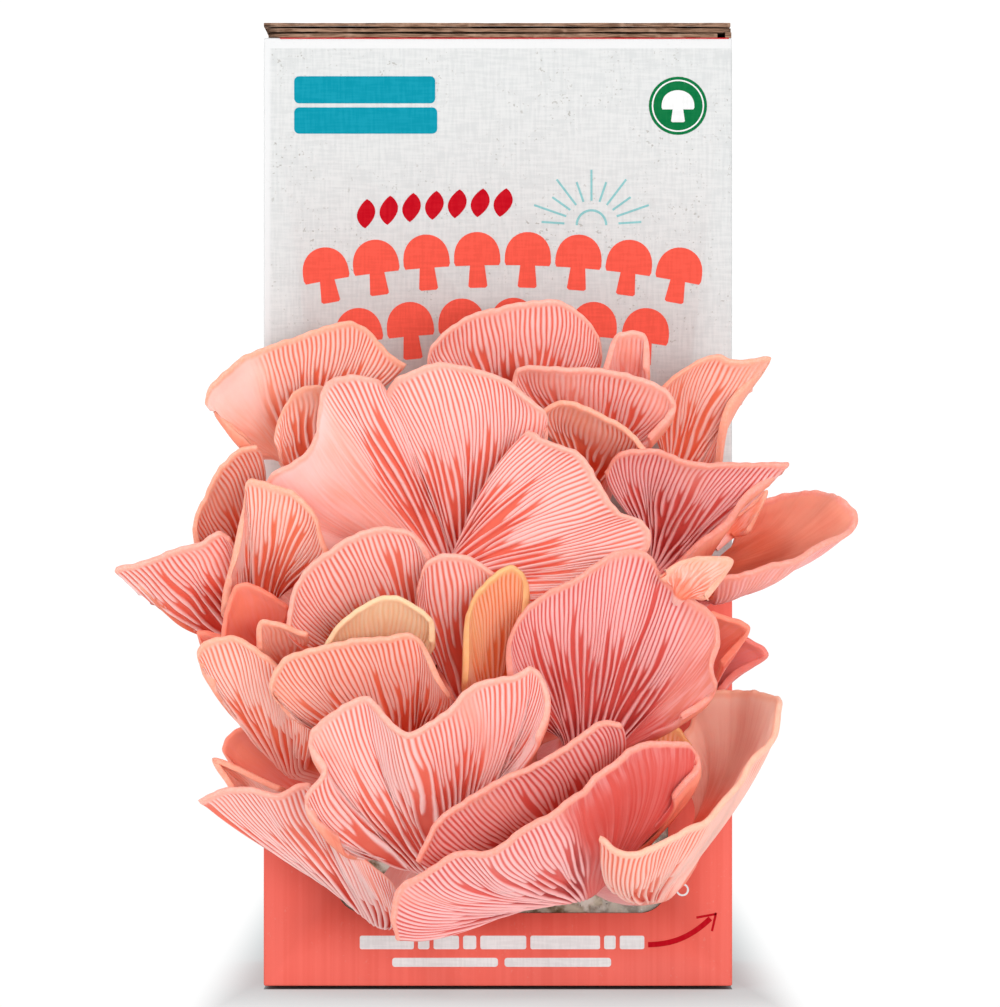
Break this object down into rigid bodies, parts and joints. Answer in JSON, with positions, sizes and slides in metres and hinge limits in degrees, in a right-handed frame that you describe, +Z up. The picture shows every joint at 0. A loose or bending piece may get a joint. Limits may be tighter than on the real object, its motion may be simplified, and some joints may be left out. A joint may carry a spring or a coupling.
{
  "type": "oyster mushroom grow kit",
  "caption": "Upright carton of growing block with a cluster of pink oyster mushrooms fruiting from a window in its front.",
  "frame": {"origin": "middle of the carton's underside, on the surface it stands on", "axes": "+Z up, +X to the right of someone facing the window, -Y out of the window towards them"},
  "size_m": [0.1735, 0.1833, 0.235],
  "materials": {
    "printed_board": "matte printed paperboard with a fine linen emboss, off-white above and coral red below, raw kraft at the cut edges",
    "mycelium_block": "pressed sawdust knit together by pale mycelium",
    "clear_film": "thin clear glossy film",
    "stem_flesh": "matte pale pink stem flesh",
    "pink_flesh": "satin coral-pink flesh with fine gills",
    "cream_flesh": "satin cream-yellow flesh with fine gills",
    "golden_flesh": "satin golden-orange flesh with fine gills",
    "red_flesh": "satin red-orange flesh",
    "mauve_flesh": "dusty mauve flesh"
  },
  "bodies": {
    "root": {"carton": "printed_board", "growing_block": "mycelium_block", "grow_bag": "clear_film", "cluster_base": "stem_flesh", "left_top_fan": "pink_flesh", "left_inner_lobe": "pink_flesh", "upper_centre_wide_fan": "pink_flesh", "right_middle_fan": "pink_flesh", "top_centre_fan": "pink_flesh", "top_small_cap": "pink_flesh", "top_right_upper_tongue": "pink_flesh", "top_right_lower_tongue": "pink_flesh", "upper_right_fan": "pink_flesh", "right_wing_fan": "pink_flesh", "right_small_tip": "pink_flesh", "right_funnel": "pink_flesh", "right_big_fan": "pink_flesh", "right_folded_lobe": "pink_flesh", "right_ruffled_cap": "golden_flesh", "right_back_red_cap": "red_flesh", "right_back_mauve_cap": "mauve_flesh", "cream_cap": "cream_flesh", "golden_cap": "golden_flesh", "centre_left_arch": "pink_flesh", "centre_pale_fan": "pink_flesh", "left_column": "pink_flesh", "left_back_fan": "pink_flesh", "left_tip_fan": "pink_flesh", "left_smooth_cap": "pink_flesh", "left_small_arch": "pink_flesh", "left_sliver": "pink_flesh", "left_lower_fan": "pink_flesh", "lower_left_arch": "pink_flesh", "front_centre_fan": "pink_flesh", "front_diagonal_fan": "pink_flesh", "bottom_front_fan": "pink_flesh", "bottom_right_funnel": "pink_flesh", "bottom_left_fan": "pink_flesh", "bottom_left_tip": "pink_flesh", "left_deep_cap": "pink_flesh"}
  },
  "joints": []
}
